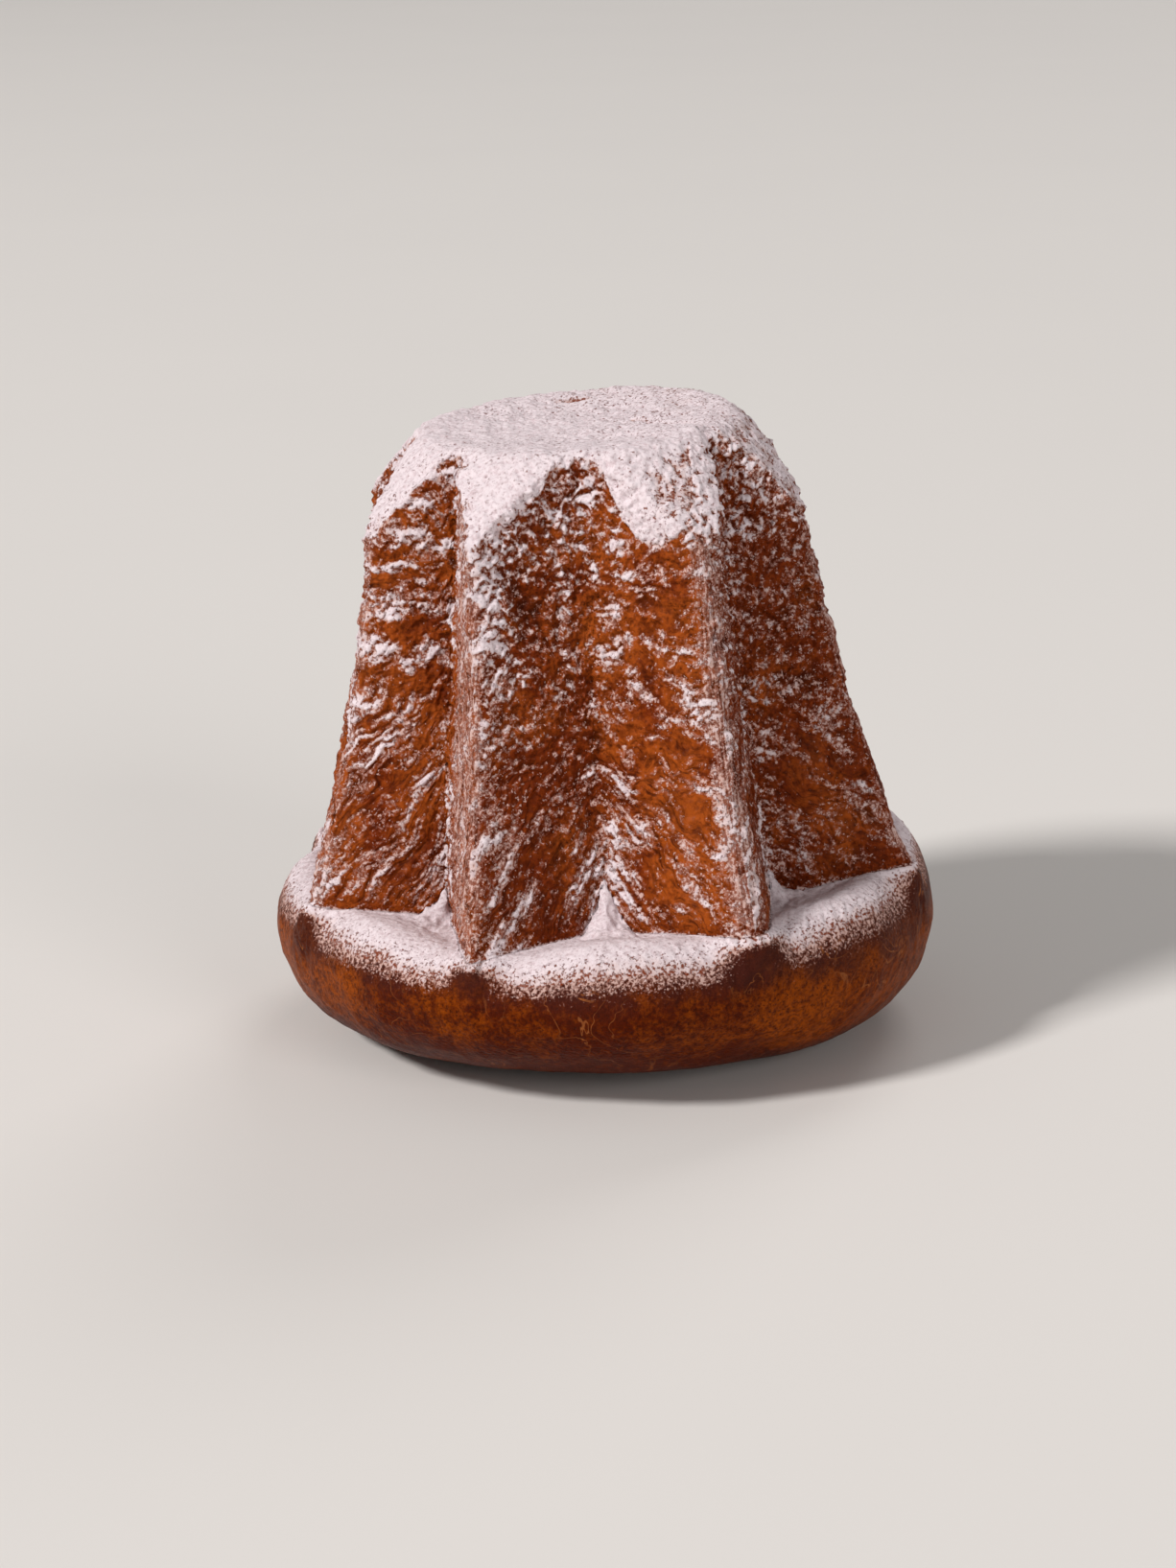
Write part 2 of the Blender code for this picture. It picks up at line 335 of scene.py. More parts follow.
class Surface:
    """Points of the cake on a grid: rows up a column, columns round the cake.

    A column's share is 0 on a ridge's crest and 1 in the valley beside it."""

    def __init__(self, sizes_by_name):
        self.size = sizes_by_name
        self.lay_columns()
        self.smooth = self.rounded(self.meridians())
        self.smooth_normal = self.normals(self.smooth)
        self.height, self.to_right = self.smooth[..., 2], self.smooth_normal[..., 0]
        self.lay_regions()
        self.lay_paths()
        relief = self.unevenness()
        push = self.softened(self.smooth_normal, 40)
        push /= np.linalg.norm(push, axis=2, keepdims=True)
        self.point = self.smooth + push * relief[..., None]
        self.point[..., 2] -= self.size.droop * np.maximum(relief, 0.0) * self.on_wall
        self.normal = self.normals(self.point)
        self.cover = sugar_cover(self)
        self.fields = crust_fields(self)
        self.sugar_top = sugar_top(self)
        self.sugar_normal = self.normals(self.sugar_top)

    def lay_columns(self):
        column = np.arange(COLUMNS)
        flank, step = column // FLANK, column % FLANK
        self.side = np.where(flank % 2 == 0, 1, -1)
        self.ridge = (flank + 1) // 2 % RIDGES
        self.share = np.where(flank % 2 == 0, step / FLANK, 1 - step / FLANK)
        self.valley = np.where(self.side > 0, self.ridge, (self.ridge - 1) % RIDGES)

    def is_flank(self, ridge, side):
        """Which columns are on one side of a ridge: 1 is its right side and -1 its left."""
        return (self.ridge == ridge) & (self.side == side)

    def flank_azimuths(self, z):
        """Azimuths of each column's crest and valley at height z."""
        s = self.size
        climb = (z - s.foot_height) / (s.slant_start - s.foot_height)
        other = (self.ridge + self.side) % RIDGES
        turn = 2 * math.pi * ((self.ridge + self.side - other) // RIDGES)
        crest = mix(s.ridge_foot[self.ridge], s.ridge_top[self.ridge], climb)
        neighbour = mix(s.ridge_foot[other], s.ridge_top[other], climb) + turn
        return crest, (crest + neighbour) / 2 + s.valley_shift[self.valley]

    def rounded_share(self):
        """The share with both its ends eased, so that crest and valley are round."""
        s = self.size

        def eased(t):
            ease = mix(s.ridge_round[self.ridge], s.valley_round, t)
            return np.arccos((1 - ease) * np.cos(math.pi * t))
        start, end = eased(np.zeros(COLUMNS)), eased(np.ones(COLUMNS))
        return (eased(self.share) - start) / (end - start)

    def star_point(self, z):
        """Radius and azimuth on the star wall: a flat flank with round ends."""
        s = self.size
        crest, valley = self.flank_azimuths(z)
        fall = np.maximum((s.slant_start - z) / (s.slant_start - s.foot_height), 0.0)
        outer = mix(s.crest_top, s.crest_foot, fall ** s.crest_flare)
        climb = (z - s.foot_height) / (s.plateau_height - s.foot_height)
        inner = mix(s.valley_foot, s.valley_top, climb)
        across = np.abs(valley - crest)
        part = across * self.rounded_share()
        reach = inner * np.sin(across - part) + outer * np.sin(part)
        return outer * inner * np.sin(across) / reach, mix(crest, valley, self.share)

    def slant_radius(self, z):
        s = self.size
        start = s.slant_start + s.slant_lift[self.ridge] * (1 - self.share)
        rise = clamp((z - start) / (s.plateau_height - start))
        return mix(s.crest_top, s.plateau_radius, rise ** s.slant_fullness)

    def wall_top(self):
        """Height at which each column's wall meets the slanted cut."""
        s = self.size
        low = np.full(COLUMNS, s.slant_start - 5 * MM)
        high = np.full(COLUMNS, s.plateau_height)
        for _ in range(24):
            middle = (low + high) / 2
            inside = self.star_point(middle)[0] < self.slant_radius(middle)
            low = np.where(inside, middle, low)
            high = np.where(inside, high, middle)
        return low

    def place(self, radius, azimuth, z):
        """World points, with the star set askew on the collar."""
        s = self.size
        above = np.maximum(z - s.foot_height, 0.0)
        x = radius * np.sin(azimuth) - s.star_tilt[0] * above
        y = -radius * np.cos(azimuth) - s.star_tilt[1] * above
        askew = clamp((z - s.belly_height) / (s.foot_height - s.belly_height))
        raised = np.maximum((z - s.tilt_start) / (s.plateau_height - s.tilt_start), 0.0)
        lift = sum((s.star_tilt[axis] * askew + s.plateau_tilt[axis] * raised) * value
                   for axis, value in enumerate((x, y)))
        return np.stack([x, y, z + lift], axis=-1)

    def meridians(self):
        """Coarse points of the collar, the wall and the plateau, each up every column."""
        s = self.size
        flank = 1 - self.share
        lobe = np.sin(math.pi * self.share / 2) ** 2
        dropped = s.foot_height - s.ridge_drop[self.ridge] * flank ** 1.2
        foot = dropped - s.foot_dip * lobe
        wall, azimuth = self.star_point(foot)
        rest = (s.rest_radius + s.rest_side * np.sin(azimuth) - s.rest_back * np.cos(azimuth)
                - s.rest_oval * np.cos(2 * azimuth))
        belly = s.belly_radius - s.lobe_swell * (1 - lobe)
        ledge = np.maximum(s.ledge_radius + s.lobe_swell * lobe, wall + s.ledge_least)
        ledge_height = dropped + s.lobe_rise * (2 * lobe - 1)
        drift = clamp(1 - flank / s.drift_share) ** s.drift_point
        rise = s.drift_rise[self.valley] * drift
        low_wall = foot + rise
        toe = np.minimum(s.drift_reach, 0.4 * (ledge - wall))

        turns = np.linspace(0, math.pi / 2, 24)
        collar = []
        for t in turns:
            height = s.belly_height * (1 - np.cos(t))
            collar.append(self.place(mix(rest, belly, np.sin(t)), azimuth, height))
        for t in turns[1:]:
            height = mix(s.belly_height, ledge_height, np.sin(t))
            collar.append(self.place(mix(ledge, belly, np.cos(t)), azimuth, height))
        halfway = wall + mix(ledge - wall, toe, 0.5)
        collar.append(self.place(halfway, azimuth, mix(ledge_height, foot, 0.4)))
        collar.append(self.place(wall + toe, azimuth, foot + 0.2 * rise))
        collar.append(self.place(self.star_point(low_wall)[0], azimuth, low_wall))

        top = self.wall_top()
        star = []
        for t in np.linspace(0, 1, 60):
            height = mix(low_wall, top, t)
            radius, azimuth = self.star_point(height)
            star.append(self.place(radius, azimuth, height))
        for t in np.linspace(0, 1, 20)[1:]:
            height = mix(top, s.plateau_height, t)
            star.append(self.place(self.slant_radius(height), azimuth, height))

        plateau = []
        for inward in np.linspace(1, 0, 16):
            height = s.plateau_height - s.plateau_dish * (1 - inward ** 2)
            plateau.append(self.place(s.plateau_radius * inward, azimuth, height))
        return [np.array(part) for part in (collar, star, plateau)]

    @staticmethod
    def evenly(part, rows):
        """A part's columns with their rows spread evenly along them."""
        steps = np.linalg.norm(np.diff(part, axis=0), axis=2)
        along = np.concatenate([np.zeros((1, COLUMNS)), np.cumsum(steps, axis=0)])
        even = np.empty((rows + 1, COLUMNS, 3))
        for column in range(COLUMNS):
            wanted = np.linspace(0, along[-1, column], rows + 1)
            for axis in range(3):
                even[:, column, axis] = np.interp(wanted, along[:, column], part[:, column, axis])
        return even

    def rounded(self, parts):
        """One grid from the parts, its corners rounded as dough rounds them."""
        collar, star, plateau = (self.evenly(part, rows) for part, rows in
                                 zip(parts, (COLLAR_ROWS, WALL_ROWS, PLATEAU_ROWS)))
        grid = self.softened(np.concatenate([collar, star[1:], plateau[1:]]), 8)
        rim = slice(WALL_END - 22, WALL_END + 23)
        grid[rim] = self.softened(grid[rim], 50)
        return grid

    @staticmethod
    def softened(grid, times):
        """A grid with each row drawn towards its neighbours, but for the first and the last."""
        grid = grid.copy()
        for _ in range(times):
            grid[1:-1] = grid[1:-1] / 2 + (grid[:-2] + grid[2:]) / 4
        return grid

    @staticmethod
    def normals(grid):
        """Outward normals of a grid that closes round the cake."""
        round_ = np.roll(grid, -1, axis=1) - np.roll(grid, 1, axis=1)
        up = np.gradient(grid, axis=0)
        across = np.cross(round_, up)
        lengths = np.linalg.norm(across, axis=2, keepdims=True)
        across = across / np.maximum(lengths, 1e-12)
        across[-1] = np.array([0.0, 0.0, 1.0])
        return across

    def lay_regions(self):
        """How far each spot belongs to each part of the cake, and how its crust and sugar look."""
        s = self.size
        self.rows = np.arange(len(self.smooth))[:, None] * np.ones(self.height.shape)
        below_rim = 1 - ramp(self.rows, WALL_END - 8, WALL_END + 6)
        self.on_wall = ramp(self.rows, COLLAR_END, COLLAR_END + 10) * below_rim
        self.steep = self.on_wall * (1 - ramp(self.smooth_normal[..., 2], 0.42, 0.60))
        self.on_collar = 1 - ramp(self.rows, COLLAR_END - 2, COLLAR_END + 3)
        self.on_top = (1 - self.on_wall) * (1 - self.on_collar)
        self.low = below(self.height, 95 * MM, 160 * MM)
        pebbly = np.maximum(ramp(self.to_right, 0.12, 0.52), 0.9 * self.is_flank(RIGHT, -1))
        self.pebbly = pebbly * (1 - 0.75 * self.low)
        crest = 1 - ramp(self.share / s.nose_width[self.ridge], 0.3, 1.0)
        whole_flank = 1 - ramp(self.share, 0.5, 0.95)
        self.nose = self.steep * np.where(self.is_flank(FRONT_LEFT, -1), whole_flank, crest)
        self.crack = near_line(self.smooth, s.crack, 1.2 * MM) * self.on_top
        self.crease = near_line(self.smooth, s.crease, 1.6 * MM) * self.on_top

    def lay_paths(self):
        """Coordinates along the folds, which fan out at the foot, and down the ridges."""
        grid = self.smooth
        azimuth = np.arctan2(grid[..., 0], -grid[..., 1])
        ring = 107 * MM
        self.ring_x, self.ring_y = ring * np.cos(azimuth), ring * np.sin(azimuth)
        off_valley = (1 - self.share) * 46 * MM
        fan = self.size.fan * clamp((165 * MM - self.height) / (105 * MM)) ** 1.2
        fan = fan * np.where(self.side > 0, 1.0, 0.7)
        wander = (3.2 + 2.5 * self.share) * MM * pattern(grid, "wander")
        wander += 2.0 * MM * pattern(grid, "wander_mid")
        wander += 0.8 * MM * pattern(grid, "wander_fine")
        self.climb = self.height + fan * off_valley + wander
        self.along = np.stack([self.climb, self.ring_x / 3.0, self.ring_y / 3.0], axis=-1)
        self.down = np.stack([self.ring_x, self.ring_y, self.height / 9.0], axis=-1)

    def noise_along(self, spacing, run, seed):
        """Noise drawn out along the folds: spacing is across them and run along them."""
        return noise(self.climb / spacing, self.ring_x / run, self.ring_y / run, seed)

    def noise_down(self, spacing, run, seed):
        """Noise drawn out down the ridges."""
        return noise(self.ring_x / spacing, self.ring_y / spacing, self.height / run, seed)

    def unevenness(self):
        """Height of the crust over its smooth form."""
        s, grid = self.size, self.smooth
        in_valley = ramp(self.share, 0.75, 0.98)
        combed = mix(0.30, 0.60, self.low) * (1 - 0.8 * self.pebbly)
        combed = clamp(combed + 0.35 * pattern(grid, "comb")) * (1 - 0.85 * in_valley)
        self.combed = self.steep * clamp(combed + 0.2 * (1 - in_valley))
        stir = [1.6 * MM * pattern(grid, name) for name in ("stir_x", "stir_y", "stir_z")]
        stirred = grid + np.stack(stir, axis=-1)

        def folds(spacing, run, seed):
            """Folds that run along the wall where it is combed, and any way elsewhere."""
            free = ridged(noise_at(stirred, spacing * 1.2, seed + 8))
            return mix(free, ridged(self.noise_along(spacing, run, seed)), combed)

        fold = folds(s.fold_size, s.fold_run, 3)
        wrinkle = folds(s.wrinkle_size, s.wrinkle_run, 4)
        crease = folds(s.crease_size, s.crease_run, 5)
        self.fold_height = (fold + 0.6 * wrinkle + 0.35 * crease) / 1.95
        strength = clamp(0.75 + 0.8 * pattern(grid, "strength")) * (1 - 0.6 * self.low)
        folded = strength * s.fold_depth * fold + (1 - 0.3 * self.low) * s.wrinkle_depth * wrinkle
        folded += s.crease_depth * crease
        on_slant = s.fold_depth * ridged(pattern(stirred, "slant")) + s.wrinkle_depth * wrinkle
        pebble = 2.6 * np.abs(pattern(stirred, "pebble")) - 0.6
        pebbled = np.maximum(self.pebbly, ramp(-self.to_right, 0.45, 0.70))

        # The resting face stays level, so nothing moves near the ground.
        steady = clamp(self.height / (20 * MM))
        relief = s.swell_depth * noise_at(grid, s.swell_size, 1)
        relief = (relief + s.lump_depth * noise_at(grid, s.lump_size, 2)) * steady
        relief += self.steep * (1 - np.where(self.ridge == LEFT, 0.0, 0.4) * self.nose) * folded
        relief += (self.on_wall - self.steep) * 0.55 * on_slant
        plateau = 0.9 * MM * pattern(grid, "plateau") + 0.35 * MM * pattern(grid, "plateau_fine")
        relief += self.on_top * plateau
        relief -= 1.4 * MM * self.crack + 1.4 * MM * self.crease
        relief += self.nose * s.fibre_depth * self.noise_down(s.fibre_size, 14 * MM, 9)
        relief += self.steep * mix(0.15, 0.45, pebbled) * MM * pebble
        relief += self.steep * mix(0.0, 0.7, pebbled) * MM * pattern(stirred, "knob")
        crumple = s.crumple_depth * noise_at(grid, s.crumple_size, 6)
        relief += crumple * mix(0.3, 1.0, self.on_wall) * steady

        seam = 1 - ramp(self.share, 0.08, 0.30)
        seam = seam * ramp(self.height, 30 * MM, 50 * MM) * self.on_collar
        relief += 1.0 * MM * seam * ridged(self.noise_down(3.5 * MM, 14 * MM, 17))
        drift = ramp(self.rows, COLLAR_END - 26, COLLAR_END - 12) * ramp(self.share, 0.70, 0.80)
        drift *= 1 - ramp(self.rows, COLLAR_END + 2, COLLAR_END + 14)
        relief += drift * MM * (2.0 * pattern(grid, "drift") + 0.8 * pattern(grid, "drift_fine"))
        bent = grid + 1.5 * MM * pattern(grid, "vein_bend")[..., None]
        vein = np.maximum(1 - 3.0 * np.abs(noise_at(bent, s.vein_size, 10)), 0.0)
        vein = self.on_collar * steady * s.vein_depth * vein
        return relief + vein * below(self.height, 50 * MM, 58 * MM)


def values(group):
    """A property group's values by name, with its vectors as arrays."""
    found = {}
    for name in group.bl_rna.properties.keys():
        if name not in ("rna_type", "name"):
            value = getattr(group, name)
            found[name] = np.array(value[:]) if hasattr(value, "__len__") else value
    return found


KEPT_SURFACE = {}


def cake_surface(scene):
    """The surface for the scene's sizes, worked out again only when one of them changes."""
    groups = (scene.pandoro_star, scene.pandoro_collar, scene.pandoro_relief, scene.pandoro_sugar)
    by_name = {name: value for group in groups for name, value in values(group).items()}
    key = str(by_name)
    if key not in KEPT_SURFACE:
        KEPT_SURFACE.clear()
        KEPT_SURFACE[key] = Surface(SimpleNamespace(**by_name))
    return KEPT_SURFACE[key]


# ---------------------------------------------------------------- how the sugar settles

def standard(score, where):
    """A score in standard deviations from its mean, both taken over part of the grid."""
    picked = score[where]
    return (score - picked.mean()) / picked.std()


def sugar_part(cake, patch):
    """The part of each spot of the wall that sugar covers, by where it lies on the cake."""
    flank, height = cake.share, cake.height
    light, shaded = cake.is_flank(FRONT_RIGHT, -1), cake.is_flank(FRONT_LEFT, 1)
    part = mix(0.11, 0.19, clamp(0.55 - 0.6 * cake.to_right)) * np.exp(0.65 * patch)
    part = part * (1 - 0.25 * cake.low)
    part = np.where(light, part * mix(0.45, 1.05, ramp(flank, 0.25, 0.75)), part)
    bare_strip = ramp(0.25 - np.abs(flank - 0.5), 0.0, 0.15)
    part = np.where(shaded, part * (1 - 0.5 * bare_strip), part)
    part += 0.10 * shaded * ramp(0.30 - flank, 0.0, 0.15) * (1 + patch)
    part = np.where(cake.is_flank(RIGHT, -1), 0.45 * part, part)
    part += 0.30 * ramp(height, 172 * MM, 205 * MM)
    part += 0.36 * below(height, 72 * MM, 105 * MM) * ramp(flank, 0.5, 0.95)
    high_crest = ramp(0.26 - flank, 0.0, 0.12) * ramp(height, 135 * MM, 155 * MM)
    part += 0.32 * shaded * high_crest * (1 + patch)
    part += 0.08 * cake.nose * (cake.ridge == FRONT_RIGHT)
    left_crest = (cake.ridge == LEFT) * ramp(0.45 - flank, 0.0, 0.25)
    part += 0.18 * left_crest * ramp(height, 105 * MM, 130 * MM)
    return np.clip(part, 0.02, 0.85)


def wall_sugar(cake, patch, fluff):
    """Sugar that the folds catch, with specks on shaded flanks and threads down the crests."""
    pebbly = cake.pebbly
    wall = (cake.rows > COLLAR_END + 8) & (cake.rows < WALL_END - 60)
    streak = standard(cake.noise_along(6.5 * MM, 13 * MM, 35), wall)
    tick = standard(cake.noise_along(2.3 * MM, 5.5 * MM, 38), wall)
    caught = 0.9 * standard(cake.normal[..., 2], wall) + mix(0.85, 0.25, pebbly) * streak
    finer = mix(tick, standard(fluff, wall), 0.25 + 0.75 * pebbly)
    caught = standard(caught + mix(0.85, 0.9, pebbly) * finer, wall)
    part = sugar_part(cake, patch)
    cover = mix(0.85, 0.72, cake.low) * (caught - np.log((1 - part) / part) / 1.7)
    shaded = np.where(cake.ridge == FRONT_LEFT, -0.85, -0.70) + 0.85 * fluff + 0.15 * patch
    cover = mix(cover, np.maximum(cover, shaded), 0.8 * pebbly)
    fibrous = np.where(cake.ridge == FRONT_RIGHT, -0.28, -0.55) - 0.15 * cake.low
    fibrous = np.where(cake.is_flank(FRONT_LEFT, -1), -0.20, fibrous)
    fibrous = fibrous + 0.5 * cake.noise_down(1.8 * MM, 6 * MM, 39) + 0.2 * fluff + 0.1 * patch
    return mix(cover, np.maximum(0.5 * cover, fibrous), cake.nose)


def with_slants(cake, cover, patch, fluff):
    """The wall's sugar with a thick dusting over the slants, its lower edge ragged."""
    along_rim = COLUMNS / (2 * math.pi * 100 * MM)
    shift = mix(cake.size.slant_shift[cake.ridge], 0.0, ramp(cake.share, 0.5, 1.0)) * along_rim
    source = (np.arange(COLUMNS) - np.rint(shift).astype(int)) % COLUMNS
    broad_up = cake.smooth_normal[:, source, 2]
    to_right = ramp(cake.to_right, 0.0, 0.5)
    ragged = 0.45 * pattern(cake.smooth, "ragged") + 0.3 * fluff + 0.25 * patch
    ragged = ragged * mix(1.0, 1.6, to_right)
    ragged = np.where(cake.ridge == FRONT_RIGHT, 1.5 * ragged - 0.15, ragged)
    flat = 3.2 * (broad_up - 0.58) + 0.9 + ragged - 0.5 * to_right
    return mix(cover, np.minimum(flat, 1.15), ramp(broad_up, 0.44, 0.58) * cake.on_wall)


def ledge_sugar(cake, patch, grain):
    """Sugar on the collar: dense on the ledge and in the drifts, and broken up outwards."""
    rows, up = cake.rows, cake.smooth_normal[..., 2]
    seam = 1 - ramp(cake.share, 0.03, 0.20)
    bare_seam = np.where(cake.ridge == FRONT_LEFT, 0.95, 0.35) * seam
    bare_seam = bare_seam * below(rows, COLLAR_END - 12, COLLAR_END - 2)
    ledge = 1.45 - (1.0 - up) * 3.1 + 0.45 * grain + 0.25 * patch - bare_seam
    ledge = np.where(up < 0.30, np.minimum(ledge, -2.0 + 3.0 * up), ledge)
    drift = ramp(rows, COLLAR_END - 26, COLLAR_END - 16) * ramp(cake.share, 0.66, 0.74)
    ledge = mix(ledge, 1.5, drift)
    against_wall = ramp(rows, COLLAR_END - 7, COLLAR_END - 2)
    return mix(ledge, np.maximum(ledge, 1.2 - 0.8 * seam), against_wall)


def sugar_cover(cake):
    """How thickly the sugar lies: 0 is the edge of a patch and 1 is full depth."""
    grid = cake.smooth
    grain = 0.6 * pattern(cake.point, "grain") + 0.5 * pattern(cake.point, "grain_coarse")
    patch = pattern(grid, "patch") + 0.5 * pattern(grid, "patch_fine")
    fluff = pattern(cake.point, "fluff")
    cover = with_slants(cake, wall_sugar(cake, patch, fluff), patch, fluff)
    pitted = 0.35 * ramp(grid[..., 0] + grid[..., 1], -30 * MM, 60 * MM)
    on_top = 1.10 - pitted + 0.25 * grain + 0.2 * patch
    cover = mix(cover, on_top, ramp(cake.rows, WALL_END - 10, WALL_END))
    cover -= 1.9 * cake.crack + 0.5 * cake.crease
    cover = mix(cover, ledge_sugar(cake, patch, grain), cake.on_collar)
    return np.clip(cover, -2.0, 1.5)


def sugar_top(cake):
    """The outer face of the sugar over the whole cake."""
    rise = np.clip(cake.cover, -0.6, 1.2) * cake.size.depth
    lumpy = 0.30 * pattern(cake.smooth, "clump") + 0.40 * pattern(cake.smooth, "clump_coarse")
    rise += lumpy * MM * ramp(cake.cover, 0.0, 0.8)
    return cake.point + cake.smooth_normal * rise[..., None]


def crust_fields(cake):
    """What the materials read: the dusting, how the crust is baked, painted flank and crease shade,
    and how its folds run.
    """
    height = cake.height
    patch = pattern(cake.smooth, "baked") + 0.5 * pattern(cake.smooth, "baked_fine")
    # Painted shade: the wall darkens on flanks turned right, away from the key light, and on the
    # far flank that the next ridge shades; the patch noise is the crust's own mottle.
    wall_baked_and_shade = 0.52 + 0.6 * cake.to_right + 0.3 * cake.pebbly + 1.1 * patch
    aside = np.abs(cake.smooth[..., 0] + 15 * MM)
    # The collar is darker towards the bottom and in its middle, and lighter to the sides.
    collar_baked = 0.86 + 0.6 * patch + 0.4 * below(height, 8 * MM, 30 * MM)
    collar_baked -= 0.75 * ramp(aside, 45 * MM, 100 * MM)
    shoulder = cake.on_collar * ramp(height + 6 * MM * patch, 38 * MM, 52 * MM)
    return {
        "dust": cake.cover,
        "combed": cake.combed,
        "nose": cake.nose,
        # Painted shade in the creases between the folds, where the fold relief is low.
        "crease_shade": clamp(0.30 - cake.fold_height * 0.9) * cake.steep,
        "collar": cake.on_collar,
        "baked": clamp(mix(wall_baked_and_shade, collar_baked, cake.on_collar)),
        "scorched": 0.85 * clamp(shoulder),
        "vein": cake.on_collar * clamp(0.1 + 1.3 * patch),
        "along": cake.along,
        "down": cake.down,
    }


# ---------------------------------------------------------------- meshes

def deselect_all():
    for picked in list(bpy.context.selected_objects):
        picked.select_set(False)


def placed_grid(name, points):
    """A grid primitive with its vertices put on the rows and columns of points."""
    rows, columns = points.shape[:2]
    deselect_all()
    bpy.ops.mesh.primitive_grid_add(x_subdivisions=columns - 1, y_subdivisions=rows - 1, size=2.0)
    piece = bpy.context.active_object
    piece.name = piece.data.name = name
    flat = np.empty(len(piece.data.vertices) * 3, np.float32)
    piece.data.vertices.foreach_get("co", flat)
    if len(flat) != rows * columns * 3:
        raise RuntimeError(f"{name}: the grid has {len(flat) // 3} vertices, not {rows * columns}")
    spots = flat.reshape(-1, 3)
    column = np.rint((spots[:, 0] + 1) / 2 * (columns - 1)).astype(int)
    row = np.rint((spots[:, 1] + 1) / 2 * (rows - 1)).astype(int)
    piece.data.vertices.foreach_set("co", points[row, column].astype(np.float32).ravel())
    piece.data.update()
    return piece, (row, column)


def give_values(piece, spots, fields):
    """Store grids of numbers or of vectors on a piece's vertices, for its material."""
    for name, field in fields.items():
        vector = field.ndim == 3
        made = piece.data.attributes.new(name, "FLOAT_VECTOR" if vector else "FLOAT", "POINT")
        flat = field[spots].astype(np.float32).ravel()
        made.data.foreach_set("vector" if vector else "value", flat)


def select_border():
    bpy.ops.object.mode_set(mode="EDIT")
    bpy.ops.mesh.select_mode(type="EDGE")
    bpy.ops.mesh.select_all(action="DESELECT")
    bpy.ops.mesh.select_non_manifold(extend=False)


def keep_lowest_loop(piece):
    """Of the selected border loops, leave only the lowest one selected."""
    mesh = piece.data
    picked = [edge for edge in mesh.edges if edge.select]
    links = {}
    for edge in picked:
        for here, there in (edge.vertices, reversed(edge.vertices)):
            links.setdefault(here, []).append(there)
    loops, left = [], set(links)
    while left:
        loop, reached = set(), [left.pop()]
        while reached:
            here = reached.pop()
            loop.add(here)
            reached += [there for there in links[here] if there not in loop]
        left -= loop
        loops.append(loop)
    lowest = min(loops, key=lambda loop: sum(mesh.vertices[here].co.z for here in loop) / len(loop))
    for edge in picked:
        edge.select = edge.vertices[0] in lowest
    for vertex in mesh.vertices:
        vertex.select = vertex.index in lowest


def draw_border_to(piece, point):
    """Extrude the selected border and merge its new edge at a point inside the cake."""
    bpy.ops.mesh.extrude_edges_move()
    bpy.ops.mesh.merge(type="CENTER")
    bpy.ops.object.mode_set(mode="OBJECT")
    piece.data.vertices[len(piece.data.vertices) - 1].co = point


def close_ring(piece, points):
    """Merge a ring's seam and pole, then draw each open end to its point, the lowest first."""
    bpy.ops.object.mode_set(mode="EDIT")
    bpy.ops.mesh.select_all(action="SELECT")
    bpy.ops.mesh.remove_doubles(threshold=SAME_SPOT)
    bpy.ops.object.mode_set(mode="OBJECT")
    for point in points:
        select_border()
        bpy.ops.object.mode_set(mode="OBJECT")
        keep_lowest_loop(piece)
        bpy.ops.object.mode_set(mode="EDIT")
        draw_border_to(piece, point)


def finish_piece(piece, material):
    piece.data.materials.clear()
    piece.data.materials.append(material)
    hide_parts("pandoro")
    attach(piece, "root")


# ---------------------------------------------------------------- crust

def crust_grid(cake, name, rows, columns, sink):
    """A piece of the crust, its rows sunk under their neighbours as far as sink says."""
    picked = np.ix_(rows, columns % COLUMNS)
    points = cake.point[picked] - cake.smooth_normal[picked] * sink[:, None, None]
    piece, spots = placed_grid(name, points)
    give_values(piece, spots, {key: field[picked] for key, field in cake.fields.items()})
    return piece, cake.normal[picked][spots]


def facing_out(piece, normals):
    """Give the piece the surface's own normals, so that its borders don't show."""
    extra = len(piece.data.vertices) - len(normals)
    normals = np.concatenate([normals, np.tile([0.0, 0.0, -1.0], (extra, 1))])
    piece.data.shade_smooth()
    piece.data.normals_split_custom_set_from_vertices(normals.tolist())


class PANDORO_OT_wedges(bpy.types.Operator):
    """Make the star's crust as four wedges that meet in valleys"""
    bl_idname = "pandoro.wedges"
    bl_label = "Star crust"

    def execute(self, context):
        cake = cake_surface(context.scene)
        rows = np.arange(COLLAR_END - 6, WALL_END + 1)
        sink = 0.9 * MM * clamp((COLLAR_END - rows) / 6)
        names = ("crust_front", "crust_right", "crust_back", "crust_left")
        for number, name in enumerate(names):
            columns = FLANK + number * QUARTER + np.arange(QUARTER + 1)
            piece, normals = crust_grid(cake, name, rows, columns, sink)
            select_border()
            draw_border_to(piece, Vector((0.0, 0.0, 0.03)))
            facing_out(piece, normals)
            finish_piece(piece, crust_material(context.scene))
        return {"FINISHED"}


def crust_ring(scene, name, rows, step, sink, ends):
    """A piece of the crust round the cake, its ends drawn to points at these heights."""
    columns = np.arange(0, COLUMNS + 1, step)
    piece, _ = crust_grid(cake_surface(scene), name, rows, columns, sink)
    close_ring(piece, [Vector((0.0, 0.0, height)) for height in ends])
    piece.data.shade_smooth()
    finish_piece(piece, crust_material(scene))


class PANDORO_OT_lid(bpy.types.Operator):
    """Make the crust under the sugar of the plateau"""
    bl_idname = "pandoro.lid"
    bl_label = "Plateau crust"

    def execute(self, context):
        rows = np.arange(WALL_END - 3, LAST_ROW + 1, 3)
        sink = 0.5 * MM * (rows < WALL_END)
        crust_ring(context.scene, "crust_plateau", rows, 4, sink, (0.19,))
        return {"FINISHED"}


